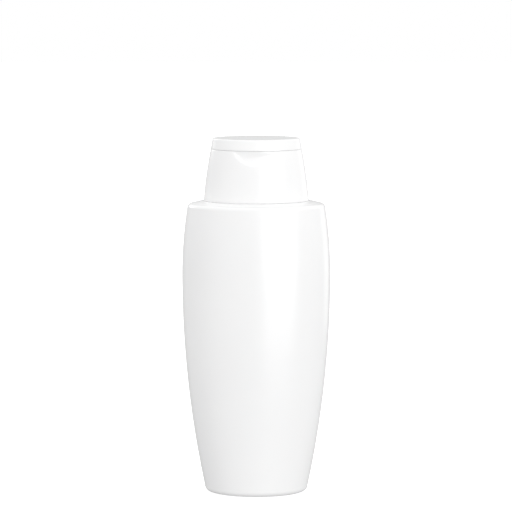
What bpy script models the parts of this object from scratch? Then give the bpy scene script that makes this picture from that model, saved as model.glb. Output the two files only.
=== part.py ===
"""An oval shampoo bottle with a one-piece flip-top cap.

The blow-moulded bottle stands on z = 0 with its front towards -Y. The cap snaps over the bottle's
round neck, and its lid swings up and back on two thin hinge films, with a spring strap between them.
"""

import math

import bmesh
import bpy
from mathutils import Matrix, Vector

MM = 0.001

# Clearances
TOUCH_GAP = 0.3 * MM        # between pieces that rest on or face each other
OVERLAP = 0.4 * MM          # how deep one shape runs into another that it is moulded with
CUT_MARGIN = 1.5 * MM       # how far a cutter runs past the wall that it opens

# Bottle body
BODY_HEIGHT = 135.5 * MM    # from the table to the start of the shoulder's round edge
WAIST_HEIGHT = 103.0 * MM   # where the body is widest
BODY_HALF_WIDTH = 34.9 * MM
BODY_HALF_DEPTH = 21.4 * MM
LOWER_WIDTH_ARC = 487.0 * MM    # radii of the long arcs that shape the sides
UPPER_WIDTH_ARC = 212.0 * MM
LOWER_DEPTH_ARC = 1500.0 * MM
UPPER_DEPTH_ARC = 290.0 * MM
BODY_WALL = 1.1 * MM
SHOULDER_EDGE = 2.0 * MM    # radius between side and shoulder
SHOULDER_RISE = 1.2 * MM    # from the round edge up to the cap's seat
BASE_EDGE = 2.6 * MM
STANDING_RING = 3.0 * MM    # width of the flat ring that the bottle stands on
PUSH_UP = 2.8 * MM          # height of the hollow under the base

# Neck and the snap fit of the cap
NECK_RADIUS = 9.5 * MM
NECK_WALL = 1.5 * MM
NECK_ROOT_RISE = 0.9 * MM   # shoulder's further rise from the cap's seat to the neck
BEAD = 0.7 * MM             # how far the neck's snap bead stands out
BEAD_HEIGHT = 1.8 * MM
BEAD_LEVEL = 11.0 * MM      # underside of the bead above the cap's seat
LUG_WIDTH = 3.0 * MM        # lugs that keep the oval cap in line with the oval bottle
LUG_HEIGHT = 3.4 * MM
LUG_LENGTH = 2.6 * MM
INNER_SKIRT_WALL = 1.1 * MM
INNER_SKIRT_LIFT = 1.8 * MM     # the inner skirt's lower edge above the outer one's
SKIRT_AIR = 0.37 * MM       # least space between inner skirt and cap wall
PLUG_SEAL_WALL = 1.0 * MM
PLUG_SEAL_DEPTH = 3.4 * MM
LIP_GAP = 0.4 * MM

# Cap body
CAP_HEIGHT = 23.9 * MM
CAP_TOP_HALF_WIDTH = 21.35 * MM
CAP_WIDTH_TAPER = 3.35 * MM     # growth of the half width from rim to foot
CAP_DEPTH_TAPER = 2.05 * MM
CAP_BULGE = 0.32 * MM       # how far the sides bow out of a straight taper
CAP_WALL = 1.3 * MM
DECK_THICKNESS = 1.2 * MM
DECK_RECESS = 1.0 * MM      # deck below the cap body's rim
SPOUT_HEIGHT = 2.8 * MM
SPOUT_WALL = 1.7 * MM
ORIFICE_RADIUS = 3.2 * MM
COLLAR_WALL = 0.9 * MM      # raised collar that centres the lid
COLLAR_HEIGHT = 2.0 * MM
COLLAR_HALF_GAP = 13.0 * MM     # the collar is left out this far each side of the middle
RIB_THICKNESS = 1.0 * MM
RIB_OFFSET = 5.2 * MM       # each rib's distance from the middle plane
RIB_HEIGHT = 9.6 * MM

# Thumb scoop in the front of the cap body
SCOOP_HALF_WIDTH = 11.6 * MM
SCOOP_HEIGHT = 7.3 * MM
SCOOP_DEPTH = 1.6 * MM
SCOOP_BACKING = 1.1 * MM

# Lid
LID_HEIGHT = 5.0 * MM
LID_WALL = 1.2 * MM
LID_TAPER = 0.85 * MM
LID_EDGE = 0.8 * MM
PLUG_CLEARANCE = 0.3 * MM
PLUG_WALL = 0.95 * MM
PLUG_REACH = 1.3 * MM       # how far the lid's plug ring enters the spout

# Hinge
HINGE_LAND_DEPTH = 0.85 * MM    # depth of the flat land cut into the rear walls
HINGE_LAND_HEIGHT = 3.3 * MM    # on each side of the parting line
FILM_THICKNESS = 0.35 * MM
FILM_STAND_OFF = 0.4 * MM     # from the land, which leans a little towards the film
FILM_LENGTH = 2.8 * MM
FILM_REACH = 0.9 * MM       # film over each wall
WINDOW_HALF_WIDTH = 4.2 * MM
WINDOW_REACH = 2.8 * MM
STRAP_HALF_WIDTH = 3.4 * MM
STRAP_WAIST = 0.62          # strap's middle width as a share of its ends
STRAP_THICKNESS = 0.6 * MM

SEGMENTS = 48               # round an oval section
ROUND_STEPS = 32            # round a turned shape
CORNER_STEPS = 3
SHARED_PLANES = ("cap_body",)   # the exact solver leaves cracks where many joined shapes share a plane

# Levels
CAP_SEAT = BODY_HEIGHT + SHOULDER_EDGE + SHOULDER_RISE
CAP_FOOT = CAP_SEAT + TOUCH_GAP
RIM = CAP_FOOT + CAP_HEIGHT
DECK_TOP = RIM - DECK_RECESS
DECK_UNDERSIDE = DECK_TOP - DECK_THICKNESS
NECK_LIP = DECK_UNDERSIDE - LIP_GAP
SPOUT_TIP = DECK_TOP + SPOUT_HEIGHT
LID_FOOT = RIM + TOUCH_GAP
LID_TOP = LID_FOOT + LID_HEIGHT

# Radii and half depths that follow from the neck
BORE_RADIUS = NECK_RADIUS - NECK_WALL
INNER_SKIRT_BORE = NECK_RADIUS + BEAD + TOUCH_GAP
INNER_SKIRT_RADIUS = INNER_SKIRT_BORE + INNER_SKIRT_WALL
CAP_TOP_HALF_DEPTH = INNER_SKIRT_RADIUS + SKIRT_AIR + CAP_WALL
PLUG_RADIUS = ORIFICE_RADIUS - PLUG_CLEARANCE

# Hinge line: it runs along X through the middle of the films
LAND_FACE = CAP_TOP_HALF_DEPTH - HINGE_LAND_DEPTH
HINGE_Y = LAND_FACE + FILM_STAND_OFF + FILM_THICKNESS / 2
HINGE_Z = RIM + TOUCH_GAP / 2


def clear_scene():
    for obj in list(bpy.data.objects):
        bpy.data.objects.remove(obj, do_unlink=True)


def new_collection(name, hidden=False):
    collection = bpy.data.collections.new(name)
    bpy.context.scene.collection.children.link(collection)
    collection.hide_render = hidden
    return collection


def plastic(name, colour, roughness):
    material = bpy.data.materials.new(name)
    material.use_nodes = True
    shader = material.node_tree.nodes["Principled BSDF"]
    shader.inputs["Base Color"].default_value = (*colour, 1.0)
    shader.inputs["Roughness"].default_value = roughness
    shader.inputs["Metallic"].default_value = 0.0
    return material


clear_scene()
PARTS = new_collection("shampoo_bottle")
SHAPES = new_collection("joined_and_cut_shapes", hidden=True)
HDPE = plastic("white_hdpe", (0.86, 0.86, 0.87), 0.32)
PP = plastic("white_polypropylene", (0.9, 0.9, 0.91), 0.24)


def add_object(name, mesh, collection, origin=(0, 0, 0)):
    """An object whose mesh is given in world coordinates and whose own origin is moved to a point."""
    mesh.transform(Matrix.Translation(-Vector(origin)))
    obj = bpy.data.objects.new(name, mesh)
    obj.location = origin
    collection.objects.link(obj)
    if collection is SHAPES:
        obj.hide_render = True
        obj.display_type = "WIRE"
    return obj


def mesh_from(bm, name):
    bmesh.ops.recalc_face_normals(bm, faces=bm.faces)
    mesh = bpy.data.meshes.new(name)
    bm.to_mesh(mesh)
    bm.free()
    return mesh


def oval(half_width, half_depth, height, stagger):
    """Points round an ellipse at one height. The stagger shifts them by a share of their spacing."""
    turns = [2 * math.pi * (i + stagger) / SEGMENTS for i in range(SEGMENTS)]
    return [(half_width * math.cos(t), half_depth * math.sin(t), height) for t in turns]


def loft(name, sections, collection, start_cap=False, end_cap=False, origin=(0, 0, 0), stagger=0.0):
    """A skin through oval sections, each (half width, half depth, height), with its ends open or capped.

    A shape that is joined to another one is staggered, so that no edges of the two line up.
    """
    bm = bmesh.new()
    rings = [[bm.verts.new(p) for p in oval(*section, stagger)] for section in sections]
    for lower, upper in zip(rings, rings[1:]):
        for i in range(SEGMENTS):
            j = (i + 1) % SEGMENTS
            bm.faces.new((lower[i], lower[j], upper[j], upper[i]))
    for wanted, ring, section in ((start_cap, rings[0], sections[0]), (end_cap, rings[-1], sections[-1])):
        if not wanted:
            continue
        middle = bm.verts.new((0, 0, section[2]))
        for i in range(SEGMENTS):
            bm.faces.new((ring[i], ring[(i + 1) % SEGMENTS], middle))
    return add_object(name, mesh_from(bm, name), collection, origin)


def thicken(obj, wall):
    """Gives an open skin its wall, growing inwards from the outer face."""
    solidify = obj.modifiers.new("wall", "SOLIDIFY")
    solidify.thickness = wall
    solidify.offset = -1
    solidify.use_even_offset = True


def turned(name, profile):
    """A ring turned round Z from a closed profile of (radius, height), outer side first, top to bottom."""
    mesh = bpy.data.meshes.new(name)
    count = len(profile)
    edges = [(i, (i + 1) % count) for i in range(count)]
    mesh.from_pydata([(radius, 0, height) for radius, height in profile], edges, [])
    obj = add_object(name, mesh, SHAPES)
    screw = obj.modifiers.new("turn", "SCREW")
    screw.steps = ROUND_STEPS
    screw.render_steps = ROUND_STEPS
    screw.use_merge_vertices = True
    screw.merge_threshold = 0.01 * MM
    return obj


def tube(name, outer, inner, low, high):
    return turned(name, [(outer, high), (outer, low), (inner, low), (inner, high)])


def rod(name, radius, low, high):
    bm = bmesh.new()
    place = Matrix.Translation((0, 0, (low + high) / 2))
    bmesh.ops.create_cone(bm, cap_ends=True, segments=ROUND_STEPS, radius1=radius, radius2=radius,
                          depth=high - low, matrix=place)
    return add_object(name, mesh_from(bm, name), SHAPES)


def box(name, low, high, collection, origin=(0, 0, 0)):
    size = Vector(high) - Vector(low)
    middle = (Vector(high) + Vector(low)) / 2
    bm = bmesh.new()
    bmesh.ops.create_cube(bm, size=1.0, matrix=Matrix.Translation(middle) @ Matrix.Diagonal((*size, 1)))
    return add_object(name, mesh_from(bm, name), collection, origin)


def combine(obj, other, operation):
    step = obj.modifiers.new(operation.lower() + " " + other.name, "BOOLEAN")
    step.operation = operation
    step.object = other
    step.solver = "MANIFOLD" if obj.name in SHARED_PLANES else "EXACT"


def finish(obj, material, edge_angle=30):
    obj.data.materials.append(material)
    obj.data.shade_smooth()
    obj.data.set_sharp_from_angle(angle=math.radians(edge_angle))


def arc_drop(distance, radius):
    """How far an arc falls away from its tangent at this distance along it."""
    return radius - math.sqrt(radius * radius - distance * distance)


def body_half_sizes(height):
    """The body's half width and half depth at a height on its side."""
    distance = height - WAIST_HEIGHT
    width_arc = UPPER_WIDTH_ARC if distance > 0 else LOWER_WIDTH_ARC
    depth_arc = UPPER_DEPTH_ARC if distance > 0 else LOWER_DEPTH_ARC
    half_width = BODY_HALF_WIDTH - arc_drop(distance, width_arc)
    half_depth = BODY_HALF_DEPTH - arc_drop(distance, depth_arc)
    return half_width, half_depth


def cap_half_sizes(height):
    """The cap body's outer half width and half depth at a height between its foot and its rim."""
    share = (RIM - height) / CAP_HEIGHT
    bow = 4 * CAP_BULGE * share * (1 - share)
    half_width = CAP_TOP_HALF_WIDTH + CAP_WIDTH_TAPER * share + bow
    half_depth = CAP_TOP_HALF_DEPTH + CAP_DEPTH_TAPER * share + bow
    return half_width, half_depth


def spread(low, high, count):
    return [low + (high - low) * i / count for i in range(count + 1)]


def base_sections():
    """From the middle of the push-up, over the standing ring and round the base edge."""
    half_width, half_depth = body_half_sizes(BASE_EDGE)
    flat_width, flat_depth = half_width - BASE_EDGE, half_depth - BASE_EDGE
    dish_width, dish_depth = flat_width - STANDING_RING, flat_depth - STANDING_RING
    sections = []
    for share in (0.2, 0.45, 0.7, 0.88, 1.0):
        sections.append((dish_width * share, dish_depth * share, PUSH_UP * (1 - share ** 2)))
    for i in range(CORNER_STEPS):
        turn = math.pi / 2 * i / CORNER_STEPS
        out = BASE_EDGE * math.sin(turn)
        sections.append((flat_width + out, flat_depth + out, BASE_EDGE * (1 - math.cos(turn))))
    return sections


def side_sections():
    lower = spread(BASE_EDGE, WAIST_HEIGHT, 8)
    upper = spread(WAIST_HEIGHT, BODY_HEIGHT, 4)
    return [(*body_half_sizes(height), height) for height in lower + upper[1:]]


def shoulder_sections():
    """Round the shoulder's edge, in under the cap and up into the neck's wall."""
    half_width, half_depth = body_half_sizes(BODY_HEIGHT)
    sections = []
    for i in range(1, CORNER_STEPS + 1):
        turn = math.pi / 2 * i / CORNER_STEPS
        fall = SHOULDER_EDGE * (1 - math.cos(turn))
        rise = SHOULDER_EDGE * math.sin(turn)
        sections.append((half_width - fall, half_depth - fall, BODY_HEIGHT + rise))
    seat_width, seat_depth = cap_half_sizes(CAP_FOOT)
    neck_root = CAP_SEAT + NECK_ROOT_RISE
    sections.append((seat_width, seat_depth, CAP_SEAT))
    seat_width -= CAP_WALL + TOUCH_GAP
    seat_depth -= CAP_WALL + TOUCH_GAP
    sections.append((seat_width, seat_depth, CAP_SEAT))
    middle_width = (seat_width + NECK_RADIUS) / 2
    middle_depth = (seat_depth + NECK_RADIUS) / 2
    sections.append((middle_width, middle_depth, CAP_SEAT + NECK_ROOT_RISE * 0.6))
    sections.append((NECK_RADIUS + NECK_WALL / 2, NECK_RADIUS + NECK_WALL / 2, neck_root))
    inside_neck = NECK_RADIUS - (NECK_WALL - BODY_WALL) / 2
    sections.append((inside_neck, inside_neck, neck_root + NECK_WALL))
    return sections


def neck_profile():
    """The neck's wall with the snap bead outside and a small lead-in at the lip."""
    foot = CAP_SEAT + NECK_ROOT_RISE - BODY_WALL / 2
    bead_low = CAP_SEAT + BEAD_LEVEL
    bead_high = bead_low + BEAD_HEIGHT
    lead_in = NECK_WALL / 3
    return [
        (NECK_RADIUS - lead_in, NECK_LIP),
        (NECK_RADIUS, NECK_LIP - lead_in),
        (NECK_RADIUS, bead_high),
        (NECK_RADIUS + BEAD, bead_low + BEAD_HEIGHT / 3),
        (NECK_RADIUS + BEAD, bead_low),
        (NECK_RADIUS, bead_low),
        (NECK_RADIUS, foot),
        (BORE_RADIUS, foot),
        (BORE_RADIUS, NECK_LIP),
    ]


def make_bottle():
    """The hollow body with its push-up base, nearly flat shoulder, neck, snap bead and two lugs."""
    bottle = loft("bottle", base_sections() + side_sections() + shoulder_sections(), PARTS, start_cap=True)
    thicken(bottle, BODY_WALL)
    combine(bottle, turned("neck", neck_profile()), "UNION")
    lug_foot = CAP_SEAT - BODY_WALL / 4
    lug_start = NECK_RADIUS - NECK_WALL / 2
    for side, name in ((-1, "lug_left"), (1, "lug_right")):
        ends = sorted((side * lug_start, side * (NECK_RADIUS + LUG_LENGTH)))
        low = (ends[0], -LUG_WIDTH / 2, lug_foot)
        high = (ends[1], LUG_WIDTH / 2, CAP_SEAT + LUG_HEIGHT)
        combine(bottle, box(name, low, high, SHAPES), "UNION")
    finish(bottle, HDPE)


def inner_skirt_profile():
    """The round skirt that grips the neck, with its snap ring just under the neck's bead."""
    low = CAP_FOOT + INNER_SKIRT_LIFT
    ring_high = CAP_SEAT + BEAD_LEVEL - TOUCH_GAP
    ring_low = ring_high - BEAD_HEIGHT
    grip = NECK_RADIUS + TOUCH_GAP
    return [
        (INNER_SKIRT_RADIUS, DECK_UNDERSIDE + OVERLAP),
        (INNER_SKIRT_RADIUS, low),
        (INNER_SKIRT_BORE, low),
        (INNER_SKIRT_BORE, ring_low - BEAD),
        (grip, ring_low),
        (grip, ring_high - BEAD / 2),
        (INNER_SKIRT_BORE, ring_high),
        (INNER_SKIRT_BORE, DECK_UNDERSIDE + OVERLAP),
    ]


def add_deck(cap):
    """The deck across the cap with the spout on it and the round seal under it."""
    sections = []
    for height in (DECK_UNDERSIDE, DECK_TOP):
        half_width, half_depth = cap_half_sizes(height)
        sections.append((half_width - CAP_WALL / 2, half_depth - CAP_WALL / 2, height))
    deck = loft("deck", sections, SHAPES, start_cap=True, end_cap=True, stagger=0.5)
    combine(cap, deck, "UNION")
    combine(cap, turned("inner_skirt", inner_skirt_profile()), "UNION")
    seal_radius = BORE_RADIUS - TOUCH_GAP
    seal = tube("plug_seal", seal_radius, seal_radius - PLUG_SEAL_WALL,
                DECK_UNDERSIDE - PLUG_SEAL_DEPTH, DECK_UNDERSIDE + OVERLAP)
    combine(cap, seal, "UNION")
    spout = rod("spout", ORIFICE_RADIUS + SPOUT_WALL, DECK_TOP - OVERLAP, SPOUT_TIP)
    combine(cap, spout, "UNION")
    orifice = rod("orifice", ORIFICE_RADIUS, DECK_UNDERSIDE - CUT_MARGIN, SPOUT_TIP + CUT_MARGIN)
    combine(cap, orifice, "DIFFERENCE")


def add_collar(cap):
    """Two raised arcs on the deck that centre the lid."""
    half_width, half_depth = cap_half_sizes(RIM)
    inset = CAP_WALL + TOUCH_GAP
    sizes = (half_width - inset - LID_TAPER, half_depth - inset - LID_TAPER)
    sections = [(*sizes, DECK_TOP - OVERLAP), (*sizes, DECK_TOP + COLLAR_HEIGHT)]
    collar = loft("collar", sections, SHAPES, stagger=0.5)
    thicken(collar, COLLAR_WALL)
    low = (-COLLAR_HALF_GAP, -half_depth - CUT_MARGIN, DECK_TOP - CUT_MARGIN)
    high = (COLLAR_HALF_GAP, half_depth + CUT_MARGIN, DECK_TOP + COLLAR_HEIGHT + CUT_MARGIN)
    combine(collar, box("collar_gap", low, high, SHAPES), "DIFFERENCE")
    combine(cap, collar, "UNION")


def add_ribs(cap):
    """Stiffening ribs between the inner skirt and the two narrow ends of the cap wall."""
    half_width, half_depth = cap_half_sizes(DECK_UNDERSIDE)
    start = math.sqrt(INNER_SKIRT_RADIUS ** 2 - RIB_OFFSET ** 2) - INNER_SKIRT_WALL / 2
    end = half_width * math.sqrt(1 - (RIB_OFFSET / half_depth) ** 2) - CAP_WALL / 2
    for side in (-1, 1):
        ends = sorted((side * start, side * end))
        for row in (-1, 1):
            middle = row * RIB_OFFSET
            low = (ends[0], middle - RIB_THICKNESS / 2, DECK_UNDERSIDE - RIB_HEIGHT)
            high = (ends[1], middle + RIB_THICKNESS / 2, DECK_UNDERSIDE + OVERLAP)
            combine(cap, box("rib_%d_%d" % (side, row), low, high, SHAPES), "UNION")


def scoop_disc(name, radius, height):
    """A thick disc with its axis along Y that runs in through the front wall."""
    front = CAP_TOP_HALF_DEPTH + CAP_DEPTH_TAPER + CUT_MARGIN
    back = CAP_TOP_HALF_DEPTH / 2
    bm = bmesh.new()
    place = Matrix.Translation((0, -(front + back) / 2, height)) @ Matrix.Rotation(math.pi / 2, 4, "X")
    bmesh.ops.create_cone(bm, cap_ends=True, segments=2 * ROUND_STEPS, radius1=radius, radius2=radius,
                          depth=front - back, matrix=place)
    return add_object(name, mesh_from(bm, name), SHAPES)


def oval_core(name, inset, levels):
    """A solid this far in from the cap wall's outer face, which goes straight up above the rim."""
    sections = []
    for height in levels:
        half_width, half_depth = cap_half_sizes(min(height, RIM))
        sections.append((half_width - inset, half_depth - inset, height))
    return loft(name, sections, SHAPES, start_cap=True, end_cap=True, stagger=0.25)


def add_scoop(cap):
    """The half-moon thumb scoop under the lid's front edge, with a wall moulded behind it."""
    radius = (SCOOP_HALF_WIDTH ** 2 + SCOOP_HEIGHT ** 2) / (2 * SCOOP_HEIGHT)
    middle_height = RIM - SCOOP_HEIGHT + radius
    foot = RIM - 2 * SCOOP_HEIGHT
    backing = scoop_disc("scoop_backing", radius + SCOOP_BACKING, middle_height)
    in_wall = spread(foot, RIM - TOUCH_GAP / 2, 3)
    combine(backing, oval_core("backing_front", CAP_WALL / 3, in_wall), "INTERSECT")
    past_wall = spread(foot - CUT_MARGIN, RIM, 3) + [middle_height + radius + 2 * CUT_MARGIN]
    combine(backing, oval_core("backing_rear", SCOOP_DEPTH + SCOOP_BACKING, past_wall), "DIFFERENCE")
    combine(cap, backing, "UNION")
    scoop = scoop_disc("scoop", radius, middle_height)
    combine(scoop, oval_core("scoop_floor", SCOOP_DEPTH, past_wall), "DIFFERENCE")
    combine(cap, scoop, "DIFFERENCE")


def land_cutter(name, low_face, high_face, low, high):
    """A wedge behind the rear wall: its front face leans from one depth at the low end to another on top."""
    half_width = CAP_TOP_HALF_WIDTH / 2
    back = CAP_TOP_HALF_DEPTH + CAP_DEPTH_TAPER + CUT_MARGIN
    cutter = box(name, (-half_width, low_face, low), (half_width, back, high), SHAPES)
    for vertex in cutter.data.vertices:
        if vertex.co.z > (low + high) / 2 and vertex.co.y < back - CUT_MARGIN / 2:
            vertex.co.y = high_face
    return cutter


def make_cap_body():
    """The oval skirt and everything moulded with it up to the lid's parting line."""
    levels = spread(CAP_FOOT, RIM, 5)
    cap = loft("cap_body", [(*cap_half_sizes(height), height) for height in levels], PARTS,
               start_cap=True, end_cap=True)
    bore = []
    for height in [CAP_FOOT - CUT_MARGIN] + levels + [RIM + CUT_MARGIN]:
        half_width, half_depth = cap_half_sizes(height)
        bore.append((half_width - CAP_WALL, half_depth - CAP_WALL, height))
    combine(cap, loft("cap_hollow", bore, SHAPES, start_cap=True, end_cap=True), "DIFFERENCE")
    add_deck(cap)
    add_collar(cap)
    add_ribs(cap)
    add_scoop(cap)
    land_foot = RIM - HINGE_LAND_HEIGHT
    lean = cap_half_sizes(land_foot)[1] - cap_half_sizes(RIM)[1]
    land = land_cutter("cap_land", LAND_FACE + lean, LAND_FACE, land_foot, RIM + TOUCH_GAP / 2)
    combine(cap, land, "DIFFERENCE")
    window_floor = CAP_TOP_HALF_DEPTH - CAP_WALL - SKIRT_AIR / 2
    low = (-WINDOW_HALF_WIDTH, window_floor, RIM - WINDOW_REACH)
    high = (WINDOW_HALF_WIDTH, CAP_TOP_HALF_DEPTH + CUT_MARGIN, RIM + CUT_MARGIN)
    combine(cap, box("cap_window", low, high, SHAPES), "DIFFERENCE")
    for side, name in ((-1, "notch_left"), (1, "notch_right")):
        ends = sorted((side * NECK_RADIUS, side * (NECK_RADIUS + LUG_LENGTH + TOUCH_GAP)))
        half = LUG_WIDTH / 2 + TOUCH_GAP
        low = (ends[0], -half, CAP_FOOT + INNER_SKIRT_LIFT - CUT_MARGIN)
        high = (ends[1], half, CAP_SEAT + LUG_HEIGHT + TOUCH_GAP)
        combine(cap, box(name, low, high, SHAPES), "DIFFERENCE")
    finish(cap, PP)


def lid_sections(foot, top, wall, edge):
    """The lid's outline inset by a wall, from its foot up and round its top edge."""
    half_width, half_depth = cap_half_sizes(RIM)
    sections = []
    for height in spread(foot, top - edge, 2):
        inset = wall + LID_TAPER * (height - LID_FOOT) / LID_HEIGHT
        sections.append((half_width - inset, half_depth - inset, height))
    side_inset = wall + LID_TAPER * (top - edge - LID_FOOT) / LID_HEIGHT
    for i in range(1, CORNER_STEPS + 1):
        turn = math.pi / 2 * i / CORNER_STEPS
        inset = side_inset + edge * (1 - math.cos(turn))
        sections.append((half_width - inset, half_depth - inset, top - edge * (1 - math.sin(turn))))
    return sections


def make_lid():
    """The shallow lid with its plug ring. Its origin is on the hinge line."""
    hinge = (0, HINGE_Y, HINGE_Z)
    outside = lid_sections(LID_FOOT, LID_TOP, 0, LID_EDGE)
    lid = loft("lid", outside, PARTS, start_cap=True, end_cap=True, origin=hinge)
    inside = lid_sections(LID_FOOT - CUT_MARGIN, LID_TOP - LID_WALL, LID_WALL, LID_EDGE / 2)
    hollow = loft("lid_hollow", inside, SHAPES, start_cap=True, end_cap=True)
    combine(lid, hollow, "DIFFERENCE")
    ring = tube("plug_ring", PLUG_RADIUS, PLUG_RADIUS - PLUG_WALL,
                SPOUT_TIP - PLUG_REACH, LID_TOP - LID_WALL + OVERLAP)
    combine(lid, ring, "UNION")
    land_top = LID_FOOT + HINGE_LAND_HEIGHT
    lean = LID_TAPER * HINGE_LAND_HEIGHT / LID_HEIGHT
    land = land_cutter("lid_land", LAND_FACE, LAND_FACE - lean, LID_FOOT - TOUCH_GAP / 2, land_top)
    combine(lid, land, "DIFFERENCE")
    low = (-WINDOW_HALF_WIDTH, CAP_TOP_HALF_DEPTH - LID_WALL - CUT_MARGIN, LID_FOOT - CUT_MARGIN)
    high = (WINDOW_HALF_WIDTH, CAP_TOP_HALF_DEPTH + CUT_MARGIN, LID_FOOT + WINDOW_REACH)
    combine(lid, box("lid_window", low, high, SHAPES), "DIFFERENCE")
    finish(lid, PP)


def make_hinge_films():
    """The two thin films that join lid and cap body outside the spring strap."""
    inner_end = WINDOW_HALF_WIDTH + TOUCH_GAP
    face = LAND_FACE + FILM_STAND_OFF
    for side, name in ((-1, "hinge_film_left"), (1, "hinge_film_right")):
        ends = sorted((side * inner_end, side * (inner_end + FILM_LENGTH)))
        low = (ends[0], face, RIM - FILM_REACH)
        high = (ends[1], face + FILM_THICKNESS, LID_FOOT + FILM_REACH)
        finish(box(name, low, high, PARTS, origin=(0, HINGE_Y, HINGE_Z)), PP)


def make_snap_strap():
    """The waisted strap that pulls the lid open or shut. It stands in the window between the films."""
    low = RIM - WINDOW_REACH + TOUCH_GAP
    high = LID_FOOT + WINDOW_REACH - TOUCH_GAP
    middle = (low + high) / 2
    waist = STRAP_HALF_WIDTH * STRAP_WAIST
    shelf = STRAP_HALF_WIDTH / 3
    side = [(STRAP_HALF_WIDTH, low), (STRAP_HALF_WIDTH, low + shelf), (waist, middle),
            (STRAP_HALF_WIDTH, high - shelf), (STRAP_HALF_WIDTH, high)]
    outline = side + [(-x, z) for x, z in reversed(side)]
    face = LAND_FACE - STRAP_THICKNESS / 2
    bm = bmesh.new()
    flat = bm.faces.new([bm.verts.new((x, face, z)) for x, z in outline])
    grown = bmesh.ops.extrude_face_region(bm, geom=[flat])
    moved = [item for item in grown["geom"] if isinstance(item, bmesh.types.BMVert)]
    bmesh.ops.translate(bm, verts=moved, vec=(0, STRAP_THICKNESS, 0))
    bmesh.ops.triangulate(bm, faces=[face for face in bm.faces if len(face.verts) > 4])
    strap = add_object("snap_strap", mesh_from(bm, "snap_strap"), PARTS, (0, HINGE_Y, HINGE_Z))
    finish(strap, PP)


make_bottle()
make_cap_body()
make_lid()
make_hinge_films()
make_snap_strap()
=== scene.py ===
"""An oval shampoo bottle with a one-piece flip-top cap, standing on a pale table top."""

import math

import bmesh
import bpy
from mathutils import Matrix, Vector


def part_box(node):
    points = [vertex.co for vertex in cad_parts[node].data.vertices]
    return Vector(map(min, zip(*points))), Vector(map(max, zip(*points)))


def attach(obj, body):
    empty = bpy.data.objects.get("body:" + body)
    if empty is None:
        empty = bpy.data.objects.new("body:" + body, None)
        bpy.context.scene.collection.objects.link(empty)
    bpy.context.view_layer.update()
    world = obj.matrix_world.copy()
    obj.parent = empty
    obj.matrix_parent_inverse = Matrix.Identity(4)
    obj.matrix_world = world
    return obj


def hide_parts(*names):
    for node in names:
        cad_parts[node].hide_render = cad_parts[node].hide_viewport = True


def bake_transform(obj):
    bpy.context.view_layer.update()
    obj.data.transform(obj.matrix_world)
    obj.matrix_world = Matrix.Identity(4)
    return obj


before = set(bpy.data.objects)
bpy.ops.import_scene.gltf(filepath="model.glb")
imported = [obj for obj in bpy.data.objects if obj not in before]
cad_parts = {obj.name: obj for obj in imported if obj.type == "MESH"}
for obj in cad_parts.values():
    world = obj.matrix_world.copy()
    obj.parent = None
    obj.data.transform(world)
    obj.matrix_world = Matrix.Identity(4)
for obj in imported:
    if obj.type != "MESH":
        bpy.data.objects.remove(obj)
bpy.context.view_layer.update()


# Bottle: one hollow body blown from white high-density polyethylene, oval all the way up to a
# nearly flat shoulder. It stands on a flat ring round a raised middle. A thin seam runs up both
# narrow sides where the two mould halves met, and a pinch-off line crosses the base.

MM = 0.001
TURN = 2 * math.pi

bottle_low, bottle_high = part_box("bottle")
cap_low, cap_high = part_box("cap_body")

SEAM_HEIGHT = 0.06 * MM
SEAM_HALF_WIDTH = 0.16 * MM
SEAM_STEPS = (-0.5, -0.3, -0.16, 0, 0.16, 0.3, 0.5)    # where the skin is divided across a seam, in mm
TOUCH_GAP = 0.3 * MM
BODY_WALL = 1.1 * MM
BODY_HALF_WIDTH = bottle_high.x - SEAM_HEIGHT
BODY_HALF_DEPTH = bottle_high.y
WAIST_HEIGHT = 103.0 * MM
LOWER_WIDTH_ARC = 487.0 * MM
UPPER_WIDTH_ARC = 212.0 * MM
LOWER_DEPTH_ARC = 1500.0 * MM
UPPER_DEPTH_ARC = 290.0 * MM
SHOULDER_EDGE = 2.0 * MM
SHOULDER_RISE = 1.2 * MM
BASE_EDGE = 2.6 * MM
STANDING_RING = 3.0 * MM
PUSH_UP = 2.8 * MM             # how far the middle of the base is raised
PUSH_UP_FALL = 1.25            # the higher, the sooner it falls away towards the standing ring
PINCH_HALF_LENGTH = 11.3 * MM
PINCH_HALF_WIDTH = 0.45 * MM
PINCH_HEIGHT = 0.6 * MM
PINCH_ROOT = 1.0 * MM          # how deep the pinch-off line is rooted in the base
PINCH_FALL_REACH = 18.3        # mm from the middle at which the line's arch would reach the table
PINCH_ROUNDING = 0.2 * MM
NECK_RADIUS = 9.5 * MM
NECK_WALL = 1.5 * MM
NECK_ROOT_RISE = 0.9 * MM
BEAD = 0.7 * MM
BEAD_HEIGHT = 1.8 * MM
BEAD_LEVEL = 11.0 * MM
LUG_WIDTH = 3.0 * MM
LUG_HEIGHT = 3.4 * MM
LUG_LENGTH = 2.6 * MM
LUG_ROUNDING = 0.25 * MM
CAP_WALL = 1.3 * MM
BOTTLE_SEGMENTS = 144

CAP_SEAT = cap_low.z - TOUCH_GAP
BODY_HEIGHT = CAP_SEAT - SHOULDER_RISE - SHOULDER_EDGE


def arc_drop(distance, radius):
    """How far an arc falls away from its tangent at this distance along it."""
    return radius - math.sqrt(radius * radius - distance * distance)


def body_half_sizes(height):
    distance = height - WAIST_HEIGHT
    width_arc = UPPER_WIDTH_ARC if distance > 0 else LOWER_WIDTH_ARC
    depth_arc = UPPER_DEPTH_ARC if distance > 0 else LOWER_DEPTH_ARC
    return (BODY_HALF_WIDTH - arc_drop(distance, width_arc),
            BODY_HALF_DEPTH - arc_drop(distance, depth_arc))


def spread(low, high, count):
    """Evenly spaced values from low to high, with both ends."""
    return [low + (high - low) * i / count for i in range(count + 1)]


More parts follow.
